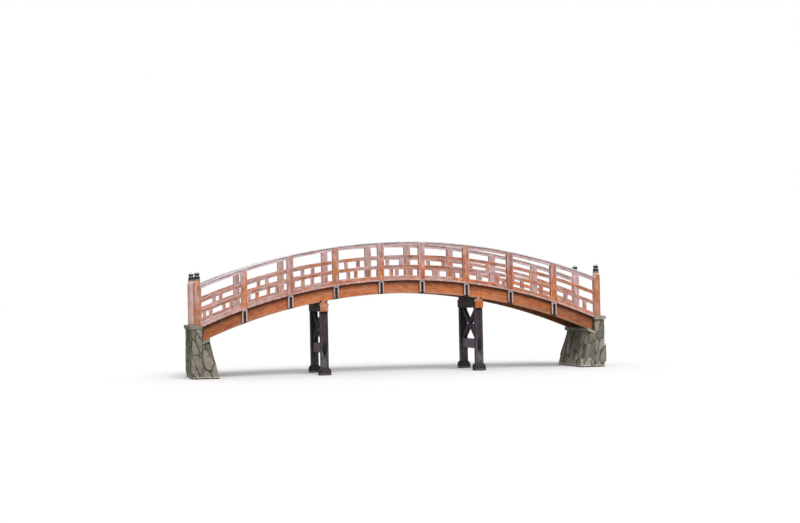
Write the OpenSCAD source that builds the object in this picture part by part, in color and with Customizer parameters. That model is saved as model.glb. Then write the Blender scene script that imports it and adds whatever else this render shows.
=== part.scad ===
// Arched timber footbridge: two arched girders on two pile bents and two stone abutments.
// X runs along the bridge, Y across it and Z up. The origin is at its middle, at the water's level.

/* [Arch] */
// Radius of the walking surface
deck_r = 14150; // [12500:10:18000]
// Height of the walking surface at the crown, above the water
crown_h = 2660; // [2400:10:3000]

/* [Deck and girders] */
// How far the deck's edge stands out past the rail posts
deck_edge = 10; // [0:5:60]
// Thickness of the deck boards
board_t = 38; // [25:1:60]
// Depth of a girder
girder_d = 365; // [280:5:420]
// Thickness of a girder
girder_w = 130; // [90:5:160]
// Distance between the girders' centre lines
girder_gap = 1800; // [1700:10:1860]
// Gap between the deck's end and the end posts
end_gap = 2; // [1:1:10]
// How far the girders stop short of the deck's end
girder_short = 14; // [0:2:60]
// Width of a cross beam
cross_w = 100; // [60:5:140]
// Depth of a cross beam
cross_d = 240; // [120:5:270]
// How far the brackets stay back from the deck's edge
bracket_set = 25; // [0:5:50]
// Width of a bracket along the bridge
bracket_w = 150; // [120:5:180]
// Thickness of a bracket's cheeks and top
bracket_t = 38; // [20:1:50]
// Depth of the recess in a bracket's face
bracket_recess = 60; // [20:5:70]
// How far the lower end of a bracket slopes back
bracket_cut = 42; // [10:2:60]

/* [Railing] */
// Distance between the railings' centre lines
rail_gap = 1980; // [1950:10:2000]
// Length of the middle bay, between post centres
mid_bay = 1180; // [1000:10:1250]
// Length of every other bay, between post centres
bay = 1295; // [1260:5:1300]
// Length of a railing's last bay, from its last square post to the end post
end_bay = 1300; // [1290:5:1350]
// Side of a square rail post
post_w = 175; // [120:5:180]
// Width of the rails and struts across the bridge
rail_w = 90; // [60:5:110]
// Height of the rail that lies on the deck
curb_h = 100; // [60:5:120]
// Height of the lower and middle rails
rail_h = 95; // [60:5:110]
// Top of the lower rail above the deck
lower_top = 402; // [360:2:460]
// Top of the middle rail above the deck
middle_top = 680; // [620:1:760]
// Top of the handrail above the deck
hand_top = 1062; // [960:1:1150]
// Height of the rail under the handrail board
top_rail_h = 75; // [40:5:90]
// Width of the top rail
top_rail_w = 130; // [90:5:150]
// Thickness of the handrail board
hand_t = 36; // [20:1:50]
// Width of the handrail board
hand_w = 185; // [120:5:190]
// Width of a strut along the bridge
strut_w = 100; // [60:5:110]
// Distance between the two struts in the lower row of a bay
strut_gap = 570; // [440:10:640]

/* [End posts] */
// Diameter of an end post
end_d = 224; // [200:2:240]
// Height of an end post's shoulder above the abutment
end_post_h = 1188; // [1180:2:1400]
// Diameter of an end post's neck
neck_d = 176; // [140:2:180]
// Height of an end post's neck
neck_h = 70; // [40:2:90]
// Diameter of the ring at a finial's foot
finial_d = 184; // [174:2:200]
// Diameter of a finial's sleeve
sleeve_d = 164; // [140:2:170]
// Height of a finial's sleeve
sleeve_h = 118; // [100:2:160]
// Diameter of a finial's onion bulb
bulb_d = 152; // [120:2:164]
// Height of a finial's onion bulb with its neck and point
bulb_h = 138; // [110:2:180]
// How far the rails reach into an end post
rail_seat = 60; // [30:5:80]

/* [Piers] */
// Distance of a pier from the bridge's middle
pier_x = 2240; // [2150:10:2300]
// Distance between the near and far columns' centre lines
column_gap = 1824; // [1700:4:1860]
// Side of a column
column_w = 216; // [160:4:224]
// How deep the girders are let into a cap beam
cap_dap = 28; // [24:1:40]
// Width of a cap beam
cap_w = 228; // [226:2:280]
// Height of a cap beam
cap_h = 313; // [295:1:330]
// How far a cap beam's ends reach past the girders' outer faces
cap_over = 95; // [60:5:120]
// Height of a cap's ends at their shoulders
cap_shoulder = 182; // [150:2:200]
// Rise of the peak of a cap's ends above their shoulders
cap_peak = 106; // [80:2:120]
// Thickness of a cap's end board
cap_board_t = 34; // [20:1:50]
// Height of the sloping boards on a cap's ends, measured upright
eave_t = 28; // [16:1:40]
// How far the sloping boards stand out past a cap's sides and its end board
eave_out = 12; // [6:1:24]
// Height of a girt's underside above the water
girt_z = 616; // [450:2:700]
// Height of a girt
girt_h = 272; // [200:2:300]
// Thickness of a girt
girt_t = 100; // [80:5:120]
// Height of the tenon through a column
tenon_h = 160; // [100:5:180]
// Thickness of the tenon through a column
tenon_t = 60; // [40:5:70]
// How far a tenon stands out of its column
tenon_out = 40; // [10:5:60]
// Width of a cross brace's arms
brace_w = 120; // [60:5:150]
// Thickness of a cross brace
brace_t = 105; // [40:5:130]
// Width of a footing at the water
footing_w = 350; // [300:5:440]
// Width of a footing's top
footing_top = 240; // [230:5:290]
// Height of a footing's straight part
footing_h = 90; // [60:5:120]
// Height of a footing's rounded shoulders
footing_slope = 110; // [60:5:150]

/* [Abutments] */
// Length of an abutment's seat under the girders
seat_len = 211; // [150:1:600]
// How far an abutment's foot stands out of its top edge
batter = 250; // [50:10:500]
// Thickness of an abutment behind the deck's end
back_t = 339; // [300:1:600]
// How far an abutment's side stands out past the deck's edge
abut_side = 60; // [20:5:200]

/* [Hidden] */
$fn = 72;
// Clearance of a joint such as a rail in its mortise
fit = 0.3;
// Flats in one arch
SEG = 48;
// Half the angle that an arch's outline covers
ARC = 27;
// Step of a rounded corner's angle
STEP = 15;
centre_z = crown_h - deck_r;
girder_top_r = deck_r - board_t;
girder_low_r = girder_top_r - girder_d;
hand_r = deck_r + hand_top;
hand_low_r = hand_r - hand_t;
top_rail_low_r = hand_low_r - top_rail_h;
end_x = mid_bay / 2 + 3 * bay + end_bay;
deck_half = end_x - end_d / 2 - end_gap;
deck_w = rail_gap + post_w + 2 * deck_edge;
girder_face = (girder_gap + girder_w) / 2;
bracket_out = deck_w / 2 - girder_face - bracket_set;
rail_half = end_x - end_d / 2 + rail_seat;
post_xs = [for (i = [0:3]) mid_bay / 2 + i * bay];
bay_xs = concat([0], [for (i = [0:2], end = [-1, 1]) end * (post_xs[i] + bay / 2)],
    [for (end = [-1, 1]) end * (post_xs[3] + end_bay / 2)]);
abut_top = arc_z(deck_r, deck_half);
abut_edge = deck_half - seat_len;
abut_foot = abut_edge - batter;
abut_back = deck_half + back_t;
abut_w = deck_w + 2 * abut_side;
end_h = abut_top + end_post_h;
footing_all = footing_h + footing_slope;
cap_len = 2 * (girder_face + cap_over);
cap_z = arc_z(girder_low_r, pier_x) + cap_dap - cap_h;
far_up = crown_h + hand_top + 1000;

// Height of an arch of radius r at the distance x from the middle
function arc_z(r, x) = centre_z + sqrt(r * r - x * x);

// Points of an arch of radius r about the bridge's common centre
function arc_points(r) = [
    for (i = [0:SEG]) let (t = -ARC + 2 * ARC * i / SEG) [r * sin(t), centre_z + r * cos(t)]
];

// Side view of everything between two arches, out to the distance half from the middle
module band(low_r, high_r, half) {
    intersection() {
        polygon(concat(arc_points(high_r), [for (i = [SEG:-1:0]) arc_points(low_r)[i]]));
        translate([-half, centre_z]) square([2 * half, far_up - centre_z]);
    }
}

// Side view of an upright strip of width w at x, between two arches
module strip(x, w, low_r, high_r) {
    intersection() {
        band(low_r, high_r, end_x + end_d);
        translate([x - w / 2, 0]) square([w, far_up]);
    }
}

// Extrudes a side view across the bridge, centred at y
module across(y, w) {
    translate([0, y + w / 2, 0]) rotate([90, 0, 0]) linear_extrude(w) children();
}

// Extrudes an end view along the bridge, centred at x
module along(x, w) {
    translate([x - w / 2, 0, 0]) rotate([90, 0, 90]) linear_extrude(w) children();
}

// Side is -1 on the near railing and 1 on the far one
module rail(side, low_r, high_r, w) {
    across(side * rail_gap / 2, w) band(low_r, high_r, rail_half);
}

module curb(side) {
    color("rosybrown") rail(side, deck_r, deck_r + curb_h, rail_w);
}

module lower_rail(side) {
    color("rosybrown") rail(side, deck_r + lower_top - rail_h, deck_r + lower_top, rail_w);
}

module middle_rail(side) {
    color("rosybrown") rail(side, deck_r + middle_top - rail_h, deck_r + middle_top, rail_w);
}

module top_rail(side) {
    color("rosybrown") rail(side, top_rail_low_r, hand_low_r, top_rail_w);
}

module handrail(side) {
    color("thistle") rail(side, hand_low_r, hand_r, hand_w);
}

// The space that the rails take in the posts
module rail_mortises(side) {
    across(side * rail_gap / 2, rail_w + 2 * fit) {
        band(deck_r - fit, deck_r + curb_h + fit, rail_half + fit);
        band(deck_r + lower_top - rail_h - fit, deck_r + lower_top + fit, rail_half + fit);
        band(deck_r + middle_top - rail_h - fit, deck_r + middle_top + fit, rail_half + fit);
    }
    across(side * rail_gap / 2, top_rail_w + 2 * fit)
        band(top_rail_low_r - fit, hand_low_r + fit, rail_half + fit);
}

module posts(side) {
    color("tan") difference() {
        for (x = post_xs, end = [-1, 1])
            across(side * rail_gap / 2, post_w) strip(end * x, post_w, deck_r, hand_low_r);
        rail_mortises(side);
    }
}

// Two struts stand in the lower row of each bay and one in the middle row
module struts(side) {
    color("wheat") across(side * rail_gap / 2, rail_w) for (x = bay_xs) {
        strip(x, strut_w, deck_r + lower_top, deck_r + middle_top - rail_h);
        for (end = [-1, 1])
            strip(x + end * strut_gap / 2, strut_w, deck_r + curb_h, deck_r + lower_top - rail_h);
    }
}

module end_post(side, end) {
    edge = 10;
    color("peru") difference() {
        translate([end * end_x, side * rail_gap / 2, 0]) rotate_extrude() polygon([
            [0, abut_top], [end_d / 2, abut_top], [end_d / 2, end_h - edge], [end_d / 2 - edge, end_h],
            [neck_d / 2, end_h], [neck_d / 2, end_h + neck_h], [0, end_h + neck_h]
        ]);
        rail_mortises(side);
        across(side * rail_gap / 2, hand_w + 2 * fit)
            band(hand_low_r - fit, hand_r + fit, rail_half + fit);
    }
}

// Half the width of a finial's bulb, at the share u of its height: a narrow neck, a round belly and a point
function bulb_r(u) =
    let (belly = bulb_d / 2, neck = 0.66, widest = 0.36)
    u < widest
        ? belly * (neck + (1 - neck) * sin(90 * u / widest))
        : belly * pow(cos(90 * (u - widest) / (1 - widest)), 1.5) + 5 * sin(180 * (u - widest) / (1 - widest));

// Metal cap with a ringed foot, a sleeve with a rounded shoulder, and an onion bulb
module finial(side, end) {
    foot = end_h + neck_h;
    ring_h = 20;
    shoulder_r = 18;
    sleeve_r = sleeve_d / 2;
    sleeve_top = foot + sleeve_h;
    turns = 12;
    color("slategray") translate([end * end_x, side * rail_gap / 2, 0]) rotate_extrude() polygon(concat(
        [[0, foot], [finial_d / 2, foot], [finial_d / 2, foot + ring_h], [sleeve_r, foot + ring_h + 8]],
        [for (a = [0:STEP:90]) [
            sleeve_r - shoulder_r + shoulder_r * cos(a), sleeve_top - shoulder_r + shoulder_r * sin(a)
        ]],
        [for (k = [0:turns]) [bulb_r(k / turns), sleeve_top + bulb_h * k / turns]]
    ));
}

module deck() {
    color("tan") across(0, deck_w) band(girder_top_r, deck_r, deck_half);
}

module girder(side) {
    color("chocolate") across(side * girder_gap / 2, girder_w)
        band(girder_low_r, girder_top_r, deck_half - girder_short);
}

module cross_beams() {
    span = girder_gap - girder_w;
    color("saddlebrown") across(0, span) for (x = post_xs, end = [-1, 1])
        strip(end * x, cross_w, girder_top_r - cross_d, girder_top_r);
}

// Wedges that cut the lower ends of a side's brackets back at a slope
module bracket_bevels(side) {
    face = girder_face + bracket_out;
    for (x = post_xs, end = [-1, 1])
        translate([0, 0, centre_z]) rotate([0, end * asin(x / girder_low_r), 0]) along(0, 2 * bracket_w)
            polygon([
                [side * (face - bracket_cut), girder_low_r], [side * (face - bracket_cut), girder_low_r - board_t],
                [side * (face + board_t), girder_low_r - board_t],
                [side * (face + board_t), girder_low_r + bracket_cut + board_t]
            ]);
}

// Box brackets, open below, that carry the deck's edge under each rail post
module brackets(side) {
    y = side * (girder_face + bracket_out / 2);
    recess_y = side * (girder_face + bracket_out - bracket_recess / 2);
    color("burlywood") difference() {
        across(y, bracket_out) for (x = post_xs, end = [-1, 1])
            strip(end * x, bracket_w, girder_low_r, girder_top_r);
        across(recess_y, bracket_recess + fit) for (x = post_xs, end = [-1, 1])
            strip(end * x, bracket_w - 2 * bracket_t, girder_low_r - board_t, girder_top_r - bracket_t);
        bracket_bevels(side);
    }
}

// Side view of a cap's peaked end
module cap_end_outline() {
    polygon([
        [-cap_w / 2, 0], [cap_w / 2, 0], [cap_w / 2, cap_shoulder],
        [0, cap_shoulder + cap_peak], [-cap_w / 2, cap_shoulder]
    ]);
}

// Side view of the two sloping boards on a cap's end
module eaves_outline() {
    reach = cap_w / 2 + eave_out;
    eave_z = cap_shoulder - eave_out * cap_peak / (cap_w / 2);
    ridge_z = cap_shoulder + cap_peak;
    polygon([
        [-reach, eave_z], [0, ridge_z], [reach, eave_z],
        [reach, eave_z + eave_t], [0, ridge_z + eave_t], [-reach, eave_z + eave_t]
    ]);
}

// Cap beam that the girders are let into, with peaked ends
module cap(end) {
    color("sienna") difference() {
        translate([0, 0, cap_z]) {
            across(0, 2 * girder_face) translate([end * pier_x - cap_w / 2, 0]) square([cap_w, cap_h]);
            across(0, cap_len) translate([end * pier_x, 0]) cap_end_outline();
        }
        for (side = [-1, 1]) across(side * girder_gap / 2, girder_w + 2 * fit)
            band(girder_low_r, girder_top_r, deck_half);
    }
}

// Board on each end of a cap beam, under a pair of sloping boards that shed the rain
module cap_boards(end) {
    roof_w = cap_over + cap_board_t + eave_out - fit;
    color("darkorange") for (side = [-1, 1]) translate([0, 0, cap_z]) {
        across(side * (cap_len + cap_board_t) / 2, cap_board_t)
            translate([end * pier_x, 0]) cap_end_outline();
        across(side * (girder_face + fit + roof_w / 2), roof_w)
            translate([end * pier_x, 0]) eaves_outline();
    }
}

module column(side, end) {
    y = side * column_gap / 2;
    color("dimgray") difference() {
        translate([end * pier_x - column_w / 2, y - column_w / 2, footing_all])
            cube([column_w, column_w, cap_z - footing_all]);
        translate([
            end * pier_x - tenon_t / 2 - fit, y - column_w,
            girt_z + (girt_h - tenon_h) / 2 - fit
        ]) cube([tenon_t + 2 * fit, 2 * column_w, tenon_h + 2 * fit]);
    }
}

module girt(end) {
    span = column_gap - column_w;
    reach = column_gap + column_w + 2 * tenon_out;
    color("dimgray") union() {
        translate([end * pier_x - girt_t / 2, -span / 2, girt_z]) cube([girt_t, span, girt_h]);
        translate([end * pier_x - tenon_t / 2, -reach / 2, girt_z + (girt_h - tenon_h) / 2])
            cube([tenon_t, reach, tenon_h]);
    }
}

// Two arms, halved where they cross, between the columns, the girt and the cap
module cross_brace(end) {
    span = column_gap - column_w;
    low = girt_z + girt_h;
    high = cap_z - low;
    lean = atan2(high, span);
    color("dimgray") along(end * pier_x, brace_t) intersection() {
        translate([-span / 2, low]) square([span, high]);
        translate([0, low + high / 2]) for (turn = [-lean, lean])
            rotate(turn) square([2 * span, brace_w], center = true);
    }
}

// Side view of a footing: upright at the water, then rounded in to its top
module footing_outline() {
    half = footing_w / 2;
    top = footing_top / 2;
    shoulder = [for (a = [0:STEP:90]) [top + (half - top) * cos(a), footing_h + footing_slope * sin(a)]];
    for (turn = [0, 1]) mirror([turn, 0])
        polygon(concat([[0, 0], [half, 0]], shoulder, [[0, footing_all]]));
}

module footing() {
    intersection() {
        across(0, footing_w) footing_outline();
        along(0, footing_w) footing_outline();
    }
}

module footings(end) {
    color("darkslategray") for (side = [-1, 1])
        translate([end * pier_x, side * column_gap / 2, 0]) footing();
}

// Battered stone block, cut to seat the girders and to meet the deck's end
module abutment(end) {
    color("gray") mirror([end < 0 ? 1 : 0, 0, 0]) across(0, abut_w) difference() {
        polygon([
            [abut_foot, 0], [abut_edge, arc_z(girder_low_r, abut_edge)], [abut_edge, abut_top],
            [abut_back, abut_top], [abut_back, 0]
        ]);
        band(girder_low_r, deck_r + hand_top, deck_half + fit);
    }
}

deck();
girder(-1);  // girder_near
girder(1);  // girder_far
cross_beams();
brackets(-1);  // brackets_near
brackets(1);  // brackets_far
cap(-1);  // cap_left
cap(1);  // cap_right
cap_boards(-1);  // cap_boards_left
cap_boards(1);  // cap_boards_right
column(-1, -1);  // column_near_left
column(1, -1);  // column_far_left
column(-1, 1);  // column_near_right
column(1, 1);  // column_far_right
girt(-1);  // girt_left
girt(1);  // girt_right
cross_brace(-1);  // cross_brace_left
cross_brace(1);  // cross_brace_right
footings(-1);  // footings_left
footings(1);  // footings_right
abutment(-1);  // abutment_left
abutment(1);  // abutment_right
curb(-1);  // curb_near
curb(1);  // curb_far
lower_rail(-1);  // lower_rail_near
lower_rail(1);  // lower_rail_far
middle_rail(-1);  // middle_rail_near
middle_rail(1);  // middle_rail_far
top_rail(-1);  // top_rail_near
top_rail(1);  // top_rail_far
handrail(-1);  // handrail_near
handrail(1);  // handrail_far
posts(-1);  // posts_near
posts(1);  // posts_far
struts(-1);  // struts_near
struts(1);  // struts_far
end_post(-1, -1);  // end_post_near_left
end_post(1, -1);  // end_post_far_left
end_post(-1, 1);  // end_post_near_right
end_post(1, 1);  // end_post_far_right
finial(-1, -1);  // finial_near_left
finial(1, -1);  // finial_far_left
finial(-1, 1);  // finial_near_right
finial(1, 1);  // finial_far_right
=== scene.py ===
"""Arched timber footbridge: detailed pieces and materials over the CAD frame. Lengths are in metres."""
import math
import random
import bmesh
import bpy
import numpy as np
from mathutils import Matrix, Vector, noise


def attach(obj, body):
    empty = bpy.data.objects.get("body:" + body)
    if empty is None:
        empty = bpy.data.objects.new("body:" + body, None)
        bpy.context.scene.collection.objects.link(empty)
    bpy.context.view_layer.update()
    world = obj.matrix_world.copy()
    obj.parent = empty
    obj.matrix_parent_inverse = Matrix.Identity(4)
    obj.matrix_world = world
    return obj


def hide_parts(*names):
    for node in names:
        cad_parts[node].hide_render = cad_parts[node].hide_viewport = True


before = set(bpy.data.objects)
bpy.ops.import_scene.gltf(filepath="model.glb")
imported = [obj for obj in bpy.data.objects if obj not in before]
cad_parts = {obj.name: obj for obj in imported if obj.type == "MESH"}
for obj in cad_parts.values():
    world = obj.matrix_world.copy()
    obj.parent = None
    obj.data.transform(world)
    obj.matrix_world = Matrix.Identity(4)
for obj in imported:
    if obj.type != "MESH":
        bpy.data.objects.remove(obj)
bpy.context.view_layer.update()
rng = random.Random(27)
# Blender's vector noise starts from the clock unless it is seeded
noise.seed_set(27)

# The bridge's own sizes, as in the part's source
DECK_R, CROWN, BOARD_T, DECK_W, DECK_HALF = 14.15, 2.66, 0.038, 2.175, 5.661
CZ = CROWN - DECK_R
GIRDER_D = 0.365
GIRDER_TOP, GIRDER_LOW = DECK_R - BOARD_T, DECK_R - BOARD_T - GIRDER_D
GIRDER_Y, GIRDER_W, GIRDER_HALF = 0.9, 0.13, DECK_HALF - 0.014
RAIL_Y, RAIL_W, RAIL_H, RAIL_HALF, POST_W = 0.99, 0.09, 0.095, 5.723, 0.175
CURB_TOP, LOWER_TOP, MIDDLE_TOP = DECK_R + 0.1, DECK_R + 0.402, DECK_R + 0.68
HAND_R, HAND_LOW, TOP_LOW = DECK_R + 1.062, DECK_R + 1.026, DECK_R + 0.951
HAND_W, TOP_W, STRUT_W, STRUT_GAP = 0.185, 0.13, 0.1, 0.57
POST_XS = [s * (0.59 + 1.295 * i) for i in range(4) for s in (-1, 1)]
# Lightness and weathering of each post, in the order of POST_XS
POST_LOOKS = {
    "near": ((0.45, 0.68, 0.5, 0.5, 0.4, 0.27, 0.55, 0.42), (0.38, 0.65, 0.4, 0.25, 0.5, 0.1, 0.3, 0.05)),
    "far": ((0.38, 0.46, 0.5, 0.42, 0.45, 0.65, 0.4, 0.45), (0.85, 0.8, 1.0, 0.5, 0.9, 1.5, 1.1, 1.3))}
BAY_XS = [0.0] + [s * x for s in (-1, 1) for x in (1.2375, 2.5325, 3.8275, 5.125)]
END_X, END_D = 5.775, 0.224
BRACKET_OUT = DECK_W / 2 - GIRDER_Y - GIRDER_W / 2 - 0.025
BRACKET_W, BRACKET_T, BRACKET_RECESS, BRACKET_CUT = 0.15, 0.038, 0.06, 0.042
CROSS_W, CROSS_D = 0.1, 0.24
PIER_X, COLUMN_Y, COLUMN_W = 2.24, 0.912, 0.216
CAP_W, CAP_H, CAP_LEN, CAP_SHOULDER, CAP_PEAK = 0.228, 0.313, 2.12, 0.182, 0.106
CAP_BOARD_T, EAVE_T, EAVE_OUT, ROOF_IN, ROOF_W = 0.034, 0.028, 0.012, 0.9653, 0.1407
GIRT_Z, GIRT_H, GIRT_T = 0.616, 0.272, 0.1
TENON_L, TENON_T, TENON_H = 2.12, 0.06, 0.16
BRACE_L, BRACE_W, BRACE_T = 2.4, 0.12, 0.105
FOOTING_HALF, FOOTING_TOP_HALF, FOOTING_Z, FOOTING_TOP, COLUMN_FOOT = 0.175, 0.12, 0.09, 0.2, 0.18


def arc_z(r, x):
    """Height of an arch of radius r at x"""
    return CZ + np.sqrt(r * r - np.square(x))


CAP_Z = float(arc_z(GIRDER_LOW, PIER_X)) + 0.028 - CAP_H
ABUT_TOP = float(arc_z(DECK_R, DECK_HALF))
END_H = ABUT_TOP + 1.188
ABUT_END, ABUT_FOOT, SEAT_X = 6.0, 5.2, 5.45


# Meshes

class Heap:
    """Gathers parts into one mesh, and keeps each point's place in its own piece of timber or stone"""

    def __init__(self):
        self.points, self.faces, self.grain, self.tint, self.wear_and_hollow_shade, self.smooth = [], [], [], [], [], []
        self.count = 0

    def add(self, points, faces, local=None, tint=None, shift=True, smooth=False):
        points = np.asarray(points, float)[:, :3]
        local = points if local is None else np.asarray(local, float)
        self.wear_and_hollow_shade.append(local[:, 3] if local.shape[1] > 3 else np.zeros(len(points)))
        off = (rng.uniform(-40, 40), rng.uniform(-0.12, 0.12), rng.uniform(0.03, 0.25)) if shift else (0, 0, 0)
        tint = tint or (rng.random(), rng.random(), 0.5)
        self.points.append(points)
        self.grain.append(local[:, :3] + np.array(off))
        self.tint.append(np.tile(np.array(tint, float), (len(points), 1)))
        self.faces += [tuple(i + self.count for i in f) for f in faces]
        self.smooth += [smooth] * len(faces)
        self.count += len(points)

    def make(self, name, material, slot, *stands_for):
        mesh = bpy.data.meshes.new(name)
        mesh.from_pydata(np.concatenate(self.points).tolist(), [], self.faces)
        for key, data in (("grain", self.grain), ("tint", self.tint)):
            layer = mesh.attributes.new(key, "FLOAT_VECTOR", "POINT")
            layer.data.foreach_set("vector", np.concatenate(data).astype(np.float32).ravel())
        layer = mesh.attributes.new("wear_and_hollow_shade", "FLOAT", "POINT")
        layer.data.foreach_set("value", np.concatenate(self.wear_and_hollow_shade).astype(np.float32))
        mesh.polygons.foreach_set("use_smooth", self.smooth)
        mesh.materials.append(material)
        mesh.validate()
        mesh.update()
        obj = bpy.data.objects.new(name, mesh)
        bpy.context.scene.collection.objects.link(obj)
        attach(obj, "root")
        if stands_for:
            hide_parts(*stands_for)
        return obj


def skin(rings, m):
    """Faces over rings of m points each: the two ends, and the strips between the rings"""
    faces = [tuple(range(m - 1, -1, -1)), tuple((rings - 1) * m + i for i in range(m))]
    for k in range(rings - 1):
        for i in range(m):
            j = (i + 1) % m
            faces.append((k * m + i, k * m + j, (k + 1) * m + j, (k + 1) * m + i))
    return faces


def section(w, h, r, steps, inset=0.0, rub=0.014):
    """A rectangle w by h with rounded corners, drawn in by inset: (across, up, wear). The wear fades over rub"""
    r = min(r, w / 2, h / 2)
    rr = max(r - inset, r * 0.2)
    out = []
    for k, (sy, sz) in enumerate(((1, 1), (-1, 1), (-1, -1), (1, -1))):
        for i in range(steps + 1):
            a = math.pi / 2 * (k + i / steps)
            out.append((sy * (w / 2 - inset - rr) + rr * math.cos(a),
                        sz * (h / 2 - inset - rr) + rr * math.sin(a), 1.0))
        side = (h if k % 2 else w) - 2 * (inset + rr)
        step = min(rub, side * 0.4)
        c, d = ((-1, 0), (0, -1), (1, 0), (0, 1))[k]
        y, z, _ = out[-1]
        out += [(y + c * step, z + d * step, 0.0), (y + c * (side - step), z + d * (side - step), 0.0)]
    return out


def block(length, w, h, r=0.006, cuts=1, steps=2, wobble=0.0, rub=0.014):
    """A bar along X with rounded edges and ends, centred at 0: points as (x, y, z, wear), and faces"""
    half = length / 2
    deep = min(rub, w * 0.3, h * 0.3)
    ends = [(0.0, deep, 0.0), (0.0, r * 0.85, 1.0), (r * 0.3, r * 0.3, 1.0), (r, 0.0, 1.0)]
    rings = [(-half + d, i, e) for d, i, e in ends]
    rings += [(-half + r + (length - 2 * r) * k / cuts, 0.0, 1.0) for k in range(1, cuts)]
    rings += [(half - d, i, e) for d, i, e in reversed(ends)]
    points = []
    seed = rng.uniform(0, 100)
    for x, inset, share in rings:
        n = noise.noise_vector(Vector((x * 1.7, seed, 0))) * wobble
        points += [(x, y + n.x, z + n.y, e * share) for y, z, e in section(w, h, r, steps, inset, rub)]
    return np.array(points), skin(len(rings), 4 * (steps + 3))


def drawn_in(outline, d):
    """A convex or peaked outline, moved in by d on all sides"""
    out, n = [], len(outline)
    for i in range(n):
        a, b, c = (np.array(outline[j % n], float) for j in (i - 1, i, i + 1))
        u, v = (b - a) / np.linalg.norm(b - a), (c - b) / np.linalg.norm(c - b)
        nu, nv = np.array((-u[1], u[0])), np.array((-v[1], v[0]))
        out.append(b + (nu + nv) * d / (1 + nu.dot(nv)))
    return out


def plate(outline, thick, r=0.004):
    """A plate in the XZ plane, outline anticlockwise seen from -Y, centred at y 0"""
    rings = [(-thick / 2, 0.012, 0.0), (-thick / 2, r * 0.85, 1.0), (-thick / 2 + r * 0.3, r * 0.3, 1.0),
             (-thick / 2 + r, 0.0, 0.7)]
    rings += [(-y, i, e) for y, i, e in reversed(rings)]
    points, n = [], len(outline)
    for y, inset, worn in rings:
        points += [(p[0], y, p[1], worn) for p in drawn_in(outline, inset)]
    faces = [tuple(range(n)), tuple(len(points) - 1 - i for i in range(n))]
    for k in range(len(rings) - 1):
        for i in range(n):
            j = (i + 1) % n
            faces.append((k * n + j, k * n + i, (k + 1) * n + i, (k + 1) * n + j))
    return np.array(points), faces


def moved(p, x, y, z):
    """Points moved by x, y, z"""
    return p[:, :3] + (x, y, z)


def lathe(profile, turns=48):
    """A turned form about Z, from (radius, height) pairs that run upwards"""
    points = [(r * math.cos(2 * math.pi * i / turns), r * math.sin(2 * math.pi * i / turns), z)
              for r, z in profile for i in range(turns)]
    return np.array(points), skin(len(profile), turns)


def on_arch(p, length, r, x_end, y):
    """Lays a bar along the arch of radius r, its ends upright at -x_end and x_end"""
    rr = r + p[:, 2]
    a = p[:, 0] / (length / 2) * np.arcsin(x_end / rr)
    return np.stack((rr * np.sin(a), y + p[:, 1], CZ + rr * np.cos(a)), 1)


def on_arch_at(p, angle, r, y=0.0):
    """Puts a small part on the arch at an angle, its X along the arch and its Z outwards"""
    rr, a = r + p[:, 2], angle + p[:, 0] / r
    return np.stack((rr * np.sin(a), y + p[:, 1], CZ + rr * np.cos(a)), 1)


def upright(p, length, x, y, low, high):
    """Stands a bar at x, y. Low and high give its foot and its top at each x"""
    px, py = x + p[:, 1], y + p[:, 2]
    u = p[:, 0] / length + 0.5
    foot, top = low(px), high(px)
    return np.stack((px, py, foot + u * (top - foot)), 1)


def crosswise(p, x, z):
    """Lays a bar across the bridge at x and z"""
    return np.stack((x - p[:, 1], p[:, 0], z + p[:, 2]), 1)


def rail(heap, r_low, r_high, w, y, x_end, rise, r=0.006, cuts=72, tint=None):
    """One arched rail"""
    mid = (r_low + r_high) / 2
    length = 2 * mid * math.asin(x_end / mid)
    p, f = block(length, w, r_high - r_low, r, cuts, 2, rise)
    heap.add(on_arch(p, length, mid, x_end, y), f, p, tint)


# Materials

def colour(r, g, b):
    """A colour of 0 to 255, as a shader takes it"""
    return tuple(((c / 255) / 12.92 if c <= 10 else ((c / 255 + 0.055) / 1.055) ** 2.4) for c in (r, g, b)) + (1.0,)


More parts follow.
